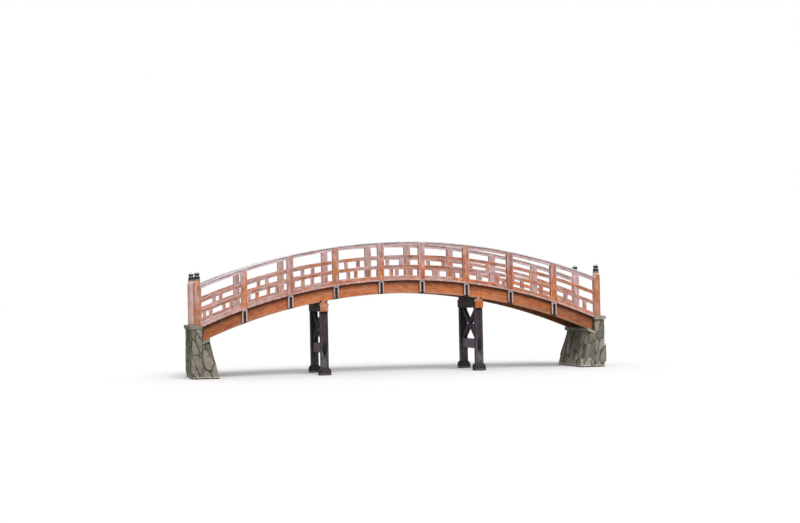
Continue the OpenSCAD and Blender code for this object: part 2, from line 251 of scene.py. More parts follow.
class Shade:
    """Builds one material's nodes"""

    def __init__(self, name, **fixed):
        self.material = bpy.data.materials.new(name)
        self.material.use_nodes = True
        self.tree = self.material.node_tree
        self.skin = self.tree.nodes["Principled BSDF"]
        for key, value in fixed.items():
            self.skin.inputs[key.replace("_", " ")].default_value = value
        self.place = self.node("ShaderNodeTexCoord").outputs["Object"]
        self.face = self.node("ShaderNodeNewGeometry").outputs["Normal"]
        self.grain = self.attribute("grain")
        self.wear_and_hollow_shade = self.attribute("wear_and_hollow_shade", "Fac")
        self.tint = self.parts(self.attribute("tint"))

    def node(self, kind, **sets):
        n = self.tree.nodes.new(kind)
        for key, value in sets.items():
            setattr(n, key, value)
        return n

    def put(self, socket, value):
        if isinstance(value, bpy.types.NodeSocket):
            self.tree.links.new(value, socket)
        else:
            socket.default_value = value

    def attribute(self, name, output="Vector"):
        return self.node("ShaderNodeAttribute", attribute_type="GEOMETRY", attribute_name=name).outputs[output]

    def parts(self, vector):
        n = self.node("ShaderNodeSeparateXYZ")
        self.put(n.inputs[0], vector)
        return n.outputs[0], n.outputs[1], n.outputs[2]

    def math(self, op, a, b=0.0, clamp=False):
        n = self.node("ShaderNodeMath", operation=op, use_clamp=clamp)
        self.put(n.inputs[0], a)
        self.put(n.inputs[1], b)
        return n.outputs[0]

    def times(self, a, b, clamp=False):
        return self.math("MULTIPLY", a, b, clamp)

    def swing(self, wave, amount):
        """A wave about 0.5, made to swing about 0 by that amount"""
        return self.times(self.math("SUBTRACT", wave, 0.5), amount)

    def sum(self, *values):
        out = values[0]
        for v in values[1:]:
            out = self.math("ADD", out, v)
        return out

    def scaled(self, vector, by):
        n = self.node("ShaderNodeVectorMath", operation="MULTIPLY")
        self.put(n.inputs[0], vector)
        self.put(n.inputs[1], by)
        return n.outputs[0]

    def moved(self, vector, by):
        n = self.node("ShaderNodeVectorMath", operation="ADD")
        self.put(n.inputs[0], vector)
        self.put(n.inputs[1], by)
        return n.outputs[0]

    def vector(self, x, y, z):
        n = self.node("ShaderNodeCombineXYZ")
        for i, v in enumerate((x, y, z)):
            self.put(n.inputs[i], v)
        return n.outputs[0]

    def noise(self, at, scale=1.0, detail=3.0, rough=0.55, twist=0.0):
        n = self.node("ShaderNodeTexNoise")
        self.put(n.inputs["Vector"], at)
        for key, v in (("Scale", scale), ("Detail", detail), ("Roughness", rough), ("Distortion", twist)):
            self.put(n.inputs[key], v)
        return n.outputs[0]

    def cells(self, at, scale, feature="F1", rand=1.0):
        n = self.node("ShaderNodeTexVoronoi", feature=feature)
        self.put(n.inputs["Vector"], at)
        self.put(n.inputs["Scale"], scale)
        self.put(n.inputs["Randomness"], rand)
        return n.outputs["Distance"]

    def chance(self, at):
        n = self.node("ShaderNodeTexWhiteNoise", noise_dimensions="3D")
        self.put(n.inputs["Vector"], at)
        return n.outputs["Value"]

    def fit(self, x, a, b, to_a=0.0, to_b=1.0, smooth=True):
        n = self.node("ShaderNodeMapRange", interpolation_type="SMOOTHSTEP" if smooth else "LINEAR", clamp=True)
        for i, v in enumerate((x, a, b, to_a, to_b)):
            self.put(n.inputs[i], v)
        return n.outputs[0]

    def mix(self, share, a, b, mode="MIX"):
        n = self.node("ShaderNodeMix", data_type="RGBA", blend_type=mode)
        self.put(n.inputs[0], share)
        self.put(n.inputs[6], a)
        self.put(n.inputs[7], b)
        return n.outputs[2]

    def shine(self, base, amount):
        """base times a grey of that amount"""
        return self.mix(1.0, base, self.vector(amount, amount, amount), "MULTIPLY")

    def above_deck(self):
        """Height over the walking surface, square to the arch"""
        x, _, z = self.parts(self.place)
        z = self.math("SUBTRACT", z, CZ)
        r = self.math("SQRT", self.sum(self.times(x, x), self.times(z, z)))
        return self.math("SUBTRACT", r, DECK_R)

    def finish(self, base, rough, height, depth, strength=0.6):
        self.put(self.skin.inputs["Base Color"], base)
        self.put(self.skin.inputs["Roughness"], rough)
        n = self.node("ShaderNodeBump")
        n.inputs["Strength"].default_value = strength
        n.inputs["Distance"].default_value = depth
        self.put(n.inputs["Height"], height)
        self.put(self.skin.inputs["Normal"], n.outputs[0])
        return self.material


def timber(name, fresh, dark, old, top, age, ring=0.008, rough=0.62, checks=0.5, spread=0.26, change=None,
           warm=None, worn=None, uneven=1.0):
    """Sawn timber: growth rings and fibres that follow each piece, silvering, stains, rubbed edges and checks.
    fresh, dark, old and top are the sound colour, its grain, the weathered colour and that of faces open to rain,
    warm that of its redder patches and worn that of its rubbed edges. uneven scales how far its patches differ.
    age(shade) gives the share of weathering. change(shade, base) adds what is particular to one place."""
    s = Shade(name)
    s.skin.inputs["Specular IOR Level"].default_value = 0.3
    warm = warm or (min(fresh[0] * 1.08, 255), fresh[1] * 0.96, fresh[2] * 0.78)
    worn = worn or old
    bright, hue, _ = s.tint
    drift = s.noise(s.scaled(s.grain, (0.5, 4, 4)), 1.0, 2.0)
    warp = s.scaled(s.vector(0.0, s.math("SUBTRACT", drift, 0.5), s.math("SUBTRACT", drift, 0.4)), (0, 0.09, 0.07))
    wave = s.node("ShaderNodeTexWave", wave_type="RINGS", rings_direction="X", wave_profile="SIN")
    s.put(wave.inputs["Vector"], s.moved(s.scaled(s.grain, (0.05, 1, 1)), warp))
    for key, v in (("Scale", 0.314 / ring), ("Distortion", 2.2), ("Detail", 2.0), ("Detail Scale", 1.2)):
        wave.inputs[key].default_value = v
    rings = s.math("POWER", wave.outputs["Fac"], 2.2)
    fibre = s.noise(s.scaled(s.grain, (3, 70, 70)), 1.0, 4.0, 0.65)
    fine = s.noise(s.scaled(s.grain, (12, 400, 400)), 1.0, 2.0, 0.6)
    patch = s.noise(s.scaled(s.grain, (2.2, 7, 7)), 1.0, 3.0, 0.6)
    blot = s.noise(s.scaled(s.grain, (6, 13, 13)), 1.0, 3.0, 0.6)
    streak = s.noise(s.scaled(s.grain, (0.9, 22, 22)), 1.0, 3.0, 0.6)
    band = s.noise(s.scaled(s.grain, (0.7, 9, 9)), 1.0, 2.0, 0.5)
    share = s.sum(s.times(rings, 0.34), s.times(s.fit(fibre, 0.35, 0.7), 0.3),
                  s.times(s.fit(streak, 0.42, 0.66), 0.6))
    base = s.mix(s.math("MINIMUM", share, 1.0), colour(*fresh), colour(*dark))
    base = s.mix(s.times(s.fit(s.sum(s.times(blot, 1.6), s.times(hue, 0.5)), 0.85, 1.35), 0.75),
                 base, colour(*warm))
    aged = s.mix(s.fit(fibre, 0.3, 0.72), colour(*old), colour(*[c * 0.8 for c in old]))
    share = s.sum(age(s), s.swing(patch, 2.6 * uneven), s.swing(blot, 1.2 * uneven),
                  s.swing(band, 2.2 * uneven), s.swing(streak, 0.8 * uneven))
    base = s.mix(s.times(share, 1.0, clamp=True), base, aged)
    up = s.parts(s.face)[2]
    open_face = s.times(s.fit(up, 0.35, 0.9), s.fit(s.sum(fibre, patch), 0.55, 1.15, 0.7, 1.0))
    base = s.mix(open_face, base, s.mix(s.fit(fibre, 0.35, 0.75), colour(*top), colour(*[c * 0.86 for c in top])))
    base = s.mix(s.times(s.fit(s.times(s.wear_and_hollow_shade, s.sum(blot, fibre)), 0.3, 1.05), 0.55), base, colour(*worn))
    base = s.shine(base, s.sum(s.fit(bright, 0, 1, 1 - spread / 2, 1 + spread / 2, False),
                               s.swing(band, 0.5 * uneven), s.swing(blot, 0.8 * uneven), s.swing(fine, 0.15)))
    check = s.noise(s.scaled(s.grain, (0.55, 17, 17)), 1.0, 2.0, 0.5)
    check = s.fit(s.math("ABSOLUTE", s.math("SUBTRACT", check, 0.5)), 0.0, 0.012, 1.0, 0.0)
    check = s.times(check, s.fit(s.noise(s.scaled(s.grain, (0.9, 5, 5)), 1.0, 2.0), 0.54, 0.62))
    base = s.shine(base, s.fit(check, 0, 1, 1.0, 1 - checks, False))
    if change:
        base = change(s, base)
    height = s.sum(s.times(rings, -0.35), s.times(fibre, 0.8), s.times(fine, 0.3), s.times(check, -1.6))
    return s.finish(base, s.fit(s.sum(fibre, share), 0.4, 1.6, rough - 0.1, rough + 0.2), height, 0.0022)


def by_tint(s):
    """Weathering as each piece's own tint says"""
    return s.tint[2]


def by_height(s):
    """Weathering that grows up the railing"""
    return s.sum(s.tint[2], s.fit(s.above_deck(), 0.2, 0.95, -0.22, 0.28))


def laminations(s, base):
    """Glued layers along a girder, each of its own shade, with a pale worn bottom edge, dark drips, painted shade
    along its top under the deck's edge, and darker towards the ends
    """
    x, y, z = s.parts(s.place)
    level = s.math("DIVIDE", s.sum(s.above_deck(), DECK_R - GIRDER_LOW), 0.0365)
    layer = s.math("FLOOR", level)
    run = s.times(s.math("ARCTAN2", x, s.math("SUBTRACT", z, CZ)), 13.7)
    part = s.math("FLOOR", s.math("DIVIDE", s.sum(run, s.times(layer, 1.37)), 2.3))
    shade = s.chance(s.vector(layer, part, s.math("SIGN", y)))
    base = s.shine(base, s.fit(shade, 0, 1, 0.9, 1.1, False))
    line = s.math("ABSOLUTE", s.math("SUBTRACT", s.math("FRACT", level), 0.5))
    base = s.shine(base, s.fit(line, 0.475, 0.495, 1.0, 0.8))
    rub = s.fit(s.sum(level, s.times(s.noise(s.scaled(s.place, (3, 3, 9)), 1.0, 3.0), 0.7)), 1.25, 0.4)
    base = s.mix(s.times(rub, 0.75), base, colour(196, 164, 140))
    drip = s.noise(s.vector(s.times(run, 9), y, s.times(level, 0.12)), 1.0, 3.0)
    base = s.mix(s.times(s.fit(drip, 0.56, 0.75), 0.3), base, colour(120, 62, 42))
    # Painted shade: the top of the girder is darkened where the deck's edge shades it
    painted_shade_under_deck = s.fit(s.sum(level, s.times(drip, 2.2)), 8.2, 11.2)
    base = s.mix(s.times(painted_shade_under_deck, 0.78), base, colour(74, 34, 28))
    far_out = s.fit(s.sum(s.math("ABSOLUTE", x), drip), 3.2, 6.2)
    return s.shine(base, s.fit(far_out, 0, 1, 1.0, 0.62, False))


def painted_shade_on_sides(s, base):
    """The brackets' cheeks get painted shade on their sides, which face away from the light"""
    x, y, _ = s.parts(s.face)
    side = s.fit(s.math("SUBTRACT", s.math("ABSOLUTE", x), s.math("ABSOLUTE", y)), -0.1, 0.4)
    # Painted shade: faces that point along the bridge are darkened
    return s.mix(s.times(side, 0.88), base, colour(76, 42, 38))


def pier_marks(s, base):
    """Stains round the tenons, rusty streaks, a pale foot where the water has washed the column, and painted light
    that makes the parts between the columns, below the braces, paler
    """
    x, y, z = s.parts(s.place)
    side = s.math("SUBTRACT", s.math("ABSOLUTE", x), PIER_X)
    stain = s.math("SQRT", s.sum(s.math("POWER", s.math("DIVIDE", side, 0.06), 2.0),
                                 s.math("POWER", s.math("DIVIDE", s.math("SUBTRACT", z, 0.73), 0.21), 2.0)))
    ragged = s.noise(s.scaled(s.place, (22, 22, 7)), 1.0, 3.0)
    outside = s.fit(s.math("ABSOLUTE", y), 0.9, 0.95)
    stain = s.times(s.fit(s.sum(stain, ragged), 1.75, 1.2), outside)
    on_column = s.fit(s.math("ABSOLUTE", y), 0.802, 0.806)
    bloom = s.fit(s.noise(s.scaled(s.place, (16, 16, 0.9)), 1.0, 4.0, 0.6), 0.5, 0.66)
    base = s.mix(s.times(s.times(bloom, on_column), 0.42), base, colour(104, 58, 54))
    base = s.mix(s.times(stain, 0.85), base, colour(24, 20, 26))
    wash = s.times(s.fit(s.sum(z, s.times(ragged, 0.5)), 1.35, 0.5), on_column)
    wash = s.times(wash, s.fit(stain, 0.6, 0.0))
    base = s.mix(s.times(wash, 0.56), base,
                 s.mix(s.fit(ragged, 0.38, 0.66), colour(132, 128, 138), colour(58, 50, 62)))
    # Painted light: the girt and what else lies between the columns below the braces is made paler, though it
    # stands in shade
    painted_light_inside = s.fit(s.math("ABSOLUTE", y), 0.802, 0.798)
    base = s.mix(s.times(painted_light_inside, s.fit(z, 0.9, 0.86, 0.0, 0.75)), base, colour(146, 130, 144))
    return s.mix(s.fit(s.sum(z, s.times(ragged, 0.1)), 0.30, 0.22), base, colour(40, 36, 38))


rails = timber("rail_timber", (190, 122, 88), (152, 86, 62), (196, 161, 158), (210, 198, 198), by_tint,
               warm=(222, 134, 84), worn=(226, 200, 198), uneven=1.45)
silver = timber("top_rail_timber", (210, 156, 144), (176, 120, 110), (224, 194, 198), (226, 216, 218), by_tint,
                warm=(214, 158, 134), worn=(238, 228, 228), uneven=1.1)
boards = timber("handrail_timber", (222, 206, 200), (196, 180, 174), (228, 227, 228), (216, 212, 210), by_tint,
                warm=(224, 206, 194), worn=(232, 230, 230), spread=0.1)
posts = timber("post_timber", (200, 122, 82), (154, 84, 56), (206, 174, 173), (214, 200, 198), by_height,
               spread=0.8, warm=(220, 136, 80), worn=(222, 194, 188), uneven=1.1)
planks = timber("deck_boards", (206, 158, 144), (160, 116, 104), (222, 190, 188), (198, 182, 172), by_tint, 0.009,
                worn=(232, 204, 200))
girders = timber("girder_timber", (196, 114, 74), (148, 76, 48), (182, 138, 112), (166, 142, 128), by_tint, 0.01,
                 change=laminations, warm=(206, 120, 70), worn=(206, 158, 126), uneven=0.55)
brackets = timber("bracket_timber", (200, 166, 158), (156, 122, 114), (206, 186, 184), (200, 188, 186), by_tint,
                  change=painted_shade_on_sides, worn=(222, 204, 202))
# Dark timber: a dark stain, and painted shade where it stands for the cap beams and the bracket recesses
dark_stain_and_shade = timber("dark_timber", (58, 44, 38), (34, 26, 24), (66, 58, 58), (84, 76, 74), by_tint, 0.01,
               warm=(76, 50, 40), worn=(84, 70, 66))
ends = timber("end_post_timber", (196, 132, 94), (150, 92, 62), (210, 174, 172), (196, 178, 160), by_tint, 0.01,
              warm=(204, 134, 80))
caps = timber("cap_board_timber", (196, 112, 60), (150, 74, 40), (202, 148, 128), (228, 188, 174), by_tint, 0.009,
              warm=(222, 126, 56), worn=(220, 168, 146))
piers = timber("pier_timber", (51, 42, 54), (27, 21, 29), (74, 67, 83), (104, 96, 106), by_tint, 0.012,
               spread=0.5, change=pier_marks, warm=(70, 46, 50), worn=(112, 100, 118))


def metal(name, base, pale, rust, rough=0.5, metallic=0.6):
    """Weathered metal, paler on what faces up: a painted reflection of the sky"""
    s = Shade(name, Metallic=metallic)
    mottle = s.noise(s.place, 26, 4.0, 0.6)
    fine = s.noise(s.place, 160, 3.0, 0.6)
    up = s.parts(s.face)[2]
    tone = s.mix(s.fit(mottle, 0.4, 0.68), colour(*base), colour(*[c * 0.72 for c in base]))
    tone = s.mix(s.times(s.fit(fine, 0.56, 0.72), 0.35), tone, colour(*rust))
    # Painted reflection: faces that point up take the pale colour, as if mirroring the sky
    tone = s.mix(s.fit(s.sum(up, s.times(mottle, 0.6)), 0.62, 1.15), tone, colour(*pale))
    return s.finish(tone, s.fit(mottle, 0.3, 0.7, rough - 0.12, rough + 0.15), s.sum(mottle, fine), 0.0012)


# The finials' pale colour is the painted reflection of the sky on their tops
finials = metal("finial_metal", (54, 53, 60), (208, 216, 220), (86, 106, 108), 0.42, 0.45)
fixings = metal("fixings", (92, 84, 82), (140, 128, 122), (118, 70, 46), 0.6, 0.7)


def stone(name, tones, pale, moss, foot, depth=0.006):
    """Weathered stone: mottled, with mineral veins, pale ridges, painted shade in its hollows, moss above and a
    washed foot.
    foot is the height of the pale line that the water leaves, and the colour of what stays wet below it."""
    s = Shade(name)
    s.skin.inputs["Specular IOR Level"].default_value = 0.35
    bright, hue, _ = s.tint
    big = s.noise(s.grain, 4, 4.0, 0.6)
    mid = s.noise(s.grain, 17, 4.0, 0.65, 0.4)
    grit = s.noise(s.grain, 110, 4.0, 0.7)
    pits = s.cells(s.grain, 60)
    vein = s.math("ABSOLUTE", s.math("SUBTRACT", s.noise(s.scaled(s.grain, (6, 6, 3.2)), 1.0, 4.0, 0.6, 0.8), 0.5))
    tone = s.mix(s.fit(s.sum(big, s.times(hue, 0.5)), 0.45, 1.0), colour(*tones[0]), colour(*tones[1]))
    tone = s.mix(s.times(s.fit(mid, 0.5, 0.66), 0.6), tone, colour(*tones[2]))
    veined = s.fit(s.sum(vein, s.times(mid, 0.1)), 0.055, 0.035)
    tone = s.mix(s.times(veined, 0.4), tone, colour(*pale))
    ridge = s.fit(s.sum(s.wear_and_hollow_shade, s.swing(mid, 1.6)), 0.45, 0.95)
    tone = s.mix(s.times(ridge, 0.75), tone, colour(*pale))
    up = s.parts(s.face)[2]
    z = s.parts(s.place)[2]
    green = s.times(s.fit(s.sum(big, s.times(mid, 0.7), s.times(up, 0.15)), 0.86, 1.1), s.fit(z, 0.25, 0.9))
    tone = s.mix(s.times(green, 0.6), tone, colour(*moss))
    tone = s.shine(tone, s.sum(s.fit(bright, 0, 1, 0.78, 1.22, False), s.swing(grit, 0.5), s.swing(mid, 0.6)))
    # Painted shade: hollows are darkened by how far they curve in
    tone = s.shine(tone, s.fit(s.wear_and_hollow_shade, 0.0, -0.6, 1.0, 0.5))
    level, under = foot
    line = s.sum(z, s.swing(mid, 0.06))
    washed = s.times(s.fit(line, level + 0.03, level + 0.01), s.fit(line, level - 0.02, level))
    tone = s.mix(s.times(washed, 0.6), tone, colour(*pale))
    wet = s.fit(line, level, level - 0.02)
    tone = s.mix(s.times(wet, 0.8), tone, colour(*under))
    rough = s.math("SUBTRACT", s.fit(grit, 0.3, 0.7, 0.72, 0.95), s.times(wet, 0.3))
    height = s.sum(s.times(mid, 1.2), s.times(grit, 0.35), s.times(s.fit(pits, 0.0, 0.3), 0.3),
                   s.times(s.fit(vein, 0.0, 0.03), 0.4))
    return s.finish(tone, rough, height, depth, 0.7)


rocks = stone("abutment_stone", ((156, 150, 134), (132, 124, 114), (88, 82, 74)), (216, 210, 196), (112, 116, 76),
              (0.04, (62, 60, 52)), 0.010)
bases = stone("footing_stone", ((58, 52, 54), (42, 38, 40), (26, 23, 24)), (132, 124, 120), (52, 52, 44),
              (0.03, (22, 20, 20)), 0.005)


# Railings

for side, which in ((-1, "near"), (1, "far")):
    y = side * RAIL_Y
    for name, low, high, w, aging in (
            ("curb", DECK_R, CURB_TOP, RAIL_W, 0.6),
            ("lower_rail", LOWER_TOP - RAIL_H, LOWER_TOP, RAIL_W, 0.38),
            ("middle_rail", MIDDLE_TOP - RAIL_H, MIDDLE_TOP, RAIL_W, 0.5),
            ("top_rail", TOP_LOW, HAND_LOW, TOP_W, 0.72)):
        heap = Heap()
        tint = (rng.random(), rng.random(), aging + (0.2 if side > 0 else 0))
        rail(heap, low, high, w, y, RAIL_HALF, 0.001, tint=tint)
        heap.make(f"{name}_{which}_bar", silver if name == "top_rail" else rails, "rail_timber", f"{name}_{which}")

    # The handrail is boards that meet over posts
    heap = Heap()
    cuts = [-RAIL_HALF, POST_XS[4], POST_XS[0], POST_XS[3], POST_XS[7], RAIL_HALF]
    cuts = cuts if side < 0 else [-x for x in reversed(cuts)]
    mid = (HAND_R + HAND_LOW) / 2
    for a, b in zip(cuts, cuts[1:]):
        a, b = math.asin(a / mid), math.asin(b / mid)
        length = (b - a) * mid - 0.003
        p, f = block(length, HAND_W, HAND_R - HAND_LOW, 0.01, 26, 4, 0.001)
        heap.add(on_arch_at(p, (a + b) / 2, mid, y), f, p, (rng.random(), rng.random(), 0.8))
    heap.make(f"handrail_{which}_boards", boards, "handrail_timber", f"handrail_{which}")

    heap = Heap()
    for x, shade, aging in zip(POST_XS, *POST_LOOKS[which]):
        p, f = block(1.0, POST_W, POST_W, 0.007, 6, 2, 0.001)
        heap.add(upright(p, 1.0, x, y, lambda v: arc_z(DECK_R, v), lambda v: arc_z(HAND_LOW, v)), f, p,
                 (shade, rng.uniform(0.2, 0.8), aging))
    heap.make(f"posts_{which}_timbers", posts, "post_timber", f"posts_{which}")

    heap = Heap()
    for x in BAY_XS:
        for sx, low, high in ((x, LOWER_TOP, MIDDLE_TOP - RAIL_H),
                              (x - STRUT_GAP / 2, CURB_TOP, LOWER_TOP - RAIL_H),
                              (x + STRUT_GAP / 2, CURB_TOP, LOWER_TOP - RAIL_H)):
            p, f = block(high - low, STRUT_W, RAIL_W, 0.005, 2, 2)
            q = upright(p, high - low, sx, y, lambda v, r=low: arc_z(r, v), lambda v, r=high: arc_z(r, v))
            heap.add(q, f, p, (rng.random(), rng.random(), (0.4 if side < 0 else 0.8) + rng.uniform(-0.2, 0.2)))
    heap.make(f"struts_{which}_timbers", rails, "rail_timber", f"struts_{which}")

# End posts and their metal caps
for side, which in ((-1, "near"), (1, "far")):
    for end, hand in ((-1, "left"), (1, "right")):
        heap = Heap()
        R, neck = END_D / 2, 0.088
        profile = [(R - 0.004, ABUT_TOP), (R, ABUT_TOP + 0.004)]
        profile += [(R, ABUT_TOP + 0.05 + k * 0.11) for k in range(11)]
        profile += [(R - 0.01 * (1 - math.cos(a)), END_H - 0.01 + 0.01 * math.sin(a)) for a in (0, 0.5, 1.0, 1.5)]
        profile += [(neck + 0.002, END_H), (neck, END_H + 0.003), (neck, END_H + 0.07)]
        p, f = lathe(profile, 48)
        local = np.stack((p[:, 2], p[:, 0], p[:, 1] - 0.16), 1)
        tint = (0.85, rng.random(), 0.25 if side < 0 else 1.15)
        heap.add(p + (end * END_X, side * RAIL_Y, 0), f, local, tint, smooth=True)
        heap.make(f"end_post_{which}_{hand}_trunk", ends, "end_post_timber", f"end_post_{which}_{hand}")

        heap = Heap()
        foot = END_H + 0.07
        profile = [(neck, foot), (0.0905, foot), (0.092, foot + 0.002), (0.092, foot + 0.016),
                   (0.0905, foot + 0.0195), (0.085, foot + 0.0215), (0.082, foot + 0.027)]
        profile += [(0.082, foot + z) for z in (0.045, 0.062)]
        profile += [(0.082 + 0.0016 * math.sin(a), foot + 0.066 + 0.003 * (1 - math.cos(a)))
                    for a in (0.5, 1.5, 2.6)]
        profile += [(0.082, foot + z) for z in (0.075, 0.09)]
        profile += [(0.064 + 0.018 * math.cos(a), foot + 0.1 + 0.018 * math.sin(a))
                    for a in np.linspace(0, math.pi / 2, 7)]
        top = foot + 0.118
        profile += [(0.0545, top + 0.001), (0.0515, top + 0.003)]
        for k in range(1, 25):
            u = k / 24
            if u < 0.36:
                r = 0.076 * (0.66 + 0.34 * math.sin(math.pi / 2 * u / 0.36))
            else:
                v = (u - 0.36) / 0.64
                r = 0.076 * max(math.cos(math.pi / 2 * v), 0) ** 1.5 + 0.005 * math.sin(math.pi * v)
            profile.append((max(r, 0.0006), top + 0.138 * u))
        p, f = lathe(profile, 56)
        heap.add(p + (end * END_X, side * RAIL_Y, 0), f, p, smooth=True)
        heap.make(f"finial_{which}_{hand}_metal", finials, "finial_metal", f"finial_{which}_{hand}")

# Deck boards and their screws
heap, studs = Heap(), Heap()
half_angle = math.asin(DECK_HALF / DECK_R)
count, BOARD_GAP = 80, 0.0055
pitch = 2 * half_angle / count
dome = lathe([(0.0065, -0.001), (0.0065, 0.0006), (0.0052, 0.0016), (0.0024, 0.0022)], 10)
for k in range(count):
    angle = -half_angle + (k + 0.5) * pitch
    wide = pitch * DECK_R - BOARD_GAP - rng.uniform(0, 0.0015)
    long = DECK_W - rng.uniform(0, 0.005)
    thick = BOARD_T - rng.uniform(0, 0.0012)
    p, f = block(long, wide, thick, 0.0035, 6, 2, 0.0008)
    tip = rng.uniform(-0.0012, 0.0012)
    q = np.stack((p[:, 1] + p[:, 0] * tip, -p[:, 0], p[:, 2]), 1)
    heap.add(on_arch_at(q, angle, DECK_R - BOARD_T + thick / 2), f, p,
             (rng.random(), rng.random(), 0.55 + rng.uniform(-0.2, 0.2)))
    for y in (-GIRDER_Y, GIRDER_Y):
        for dx in (-0.036, 0.036):
            at = moved(dome[0], dx + rng.uniform(-0.003, 0.003), 0, 0)
            at = on_arch_at(at, angle, DECK_R - BOARD_T + thick, y + rng.uniform(-0.006, 0.006))
            studs.add(at, dome[1], smooth=True)
heap.make("deck_planks", planks, "deck_boards", "deck")
studs.make("deck_screws", fixings, "deck_boards")

# Girders, the beams between them, and the brackets outside
for side, which in ((-1, "near"), (1, "far")):
    heap = Heap()
    rail(heap, GIRDER_LOW, GIRDER_TOP, GIRDER_W, side * GIRDER_Y, GIRDER_HALF, 0.0008, 0.006, 96,
         (rng.random(), rng.random(), 0.12))
    heap.make(f"girder_{which}_beam", girders, "girder_timber", f"girder_{which}")

    heap, painted_light_tops, dark_shaded_backs, bolts = Heap(), Heap(), Heap(), Heap()
    face = GIRDER_Y + GIRDER_W / 2
    deep = BRACKET_OUT - BRACKET_RECESS
    between = BRACKET_W - 2 * BRACKET_T
    head = lathe([(0.021, 0.0), (0.021, 0.0025), (0.013, 0.003), (0.013, 0.009), (0.0105, 0.0115),
                  (0.004, 0.0125)], 12)
    for x in POST_XS:
        low = lambda v: arc_z(GIRDER_LOW, v)
        high = lambda v: arc_z(GIRDER_TOP - 0.0005, v)
        under = lambda v: arc_z(GIRDER_TOP - BRACKET_T, v)
        # Two cheeks, a back and a top, the cheeks' feet cut back at a slope
        for turn in (-1, 1):
            p, f = block(GIRDER_D, BRACKET_T, BRACKET_OUT, 0.004, 8, 2)
            at = x + turn * (BRACKET_W - BRACKET_T) / 2
            q = upright(p, GIRDER_D, at, side * (face + BRACKET_OUT / 2), low, high)
            out = (q[:, 1] * side) - (face + BRACKET_OUT - BRACKET_CUT)
            lift = np.clip(out, 0, None) - (q[:, 2] - low(q[:, 0]))
            q[:, 2] += np.clip(lift, 0, None)
            heap.add(q, f, p, (rng.random(), rng.random(), 0.75))
        # Painted light: the tops take the pale handrail timber, to make up for the shade of the deck's edge over
        # them
        p, f = block(BRACKET_T, between, BRACKET_OUT, 0.003, 1, 1)
        painted_light_tops.add(upright(p, BRACKET_T, x, side * (face + BRACKET_OUT / 2), under, high), f, p,
                 (0.5, rng.random(), 0.6))
        # The backs take the dark timber: their own dark stain, and painted shade in the recess
        p, f = block(GIRDER_D - BRACKET_T, between, deep, 0.003, 4, 1)
        dark_shaded_backs.add(upright(p, GIRDER_D - BRACKET_T, x, side * (face + deep / 2), low, under), f, p, (0.2, 0.5, 0.0))
        for dz in (0.1, 0.235):
            q = head[0]
            q = np.stack((x + q[:, 0], side * (face + deep + q[:, 2]), float(low(x)) + dz - side * q[:, 1]), 1)
            bolts.add(q, head[1])
    heap.make(f"brackets_{which}_boxes", brackets, "bracket_timber", f"brackets_{which}")
    painted_light_tops.make(f"bracket_painted_light_tops_{which}", boards, "bracket_timber")
    dark_shaded_backs.make(f"bracket_dark_shaded_backs_{which}", dark_stain_and_shade, "bracket_timber")
    bolts.make(f"bracket_bolts_{which}", fixings, "bracket_timber")

heap = Heap()
for x in POST_XS:
    p, f = block(2 * GIRDER_Y - GIRDER_W, CROSS_W, CROSS_D, 0.005, 2, 2)
    z = arc_z(GIRDER_TOP - CROSS_D / 2, x - p[:, 1]) + p[:, 2] * 0.998 - 0.0005
    q = np.stack((x - p[:, 1], p[:, 0], z), 1)
    heap.add(q, f, p, (rng.random(), rng.random(), 0.4))
heap.make("cross_beams_timbers", dark_stain_and_shade, "dark_timber", "cross_beams")


# Piers

def pare(bm, planes):
    """Cuts a closed bmesh by planes, each a point and a normal. What lies beyond goes, and the cut is closed"""
    for at, normal in planes:
        out = bmesh.ops.bisect_plane(bm, geom=bm.verts[:] + bm.edges[:] + bm.faces[:], plane_co=at,
                                     plane_no=normal, clear_outer=True, dist=1e-6)
        rim = [e for e in out["geom_cut"] if isinstance(e, bmesh.types.BMEdge)]
        if rim:
            bmesh.ops.holes_fill(bm, edges=rim)


def cut(points, faces, planes):
    """A closed part, cut by planes: its new points and faces"""
    bm = bmesh.new()
    verts = [bm.verts.new(p) for p in points]
    for f in faces:
        bm.faces.new([verts[i] for i in f])
    pare(bm, planes)
    bm.verts.ensure_lookup_table()
    bm.verts.index_update()
    result = np.array([v.co[:] for v in bm.verts]), [tuple(v.index for v in f.verts) for f in bm.faces]
    bm.free()
    return result


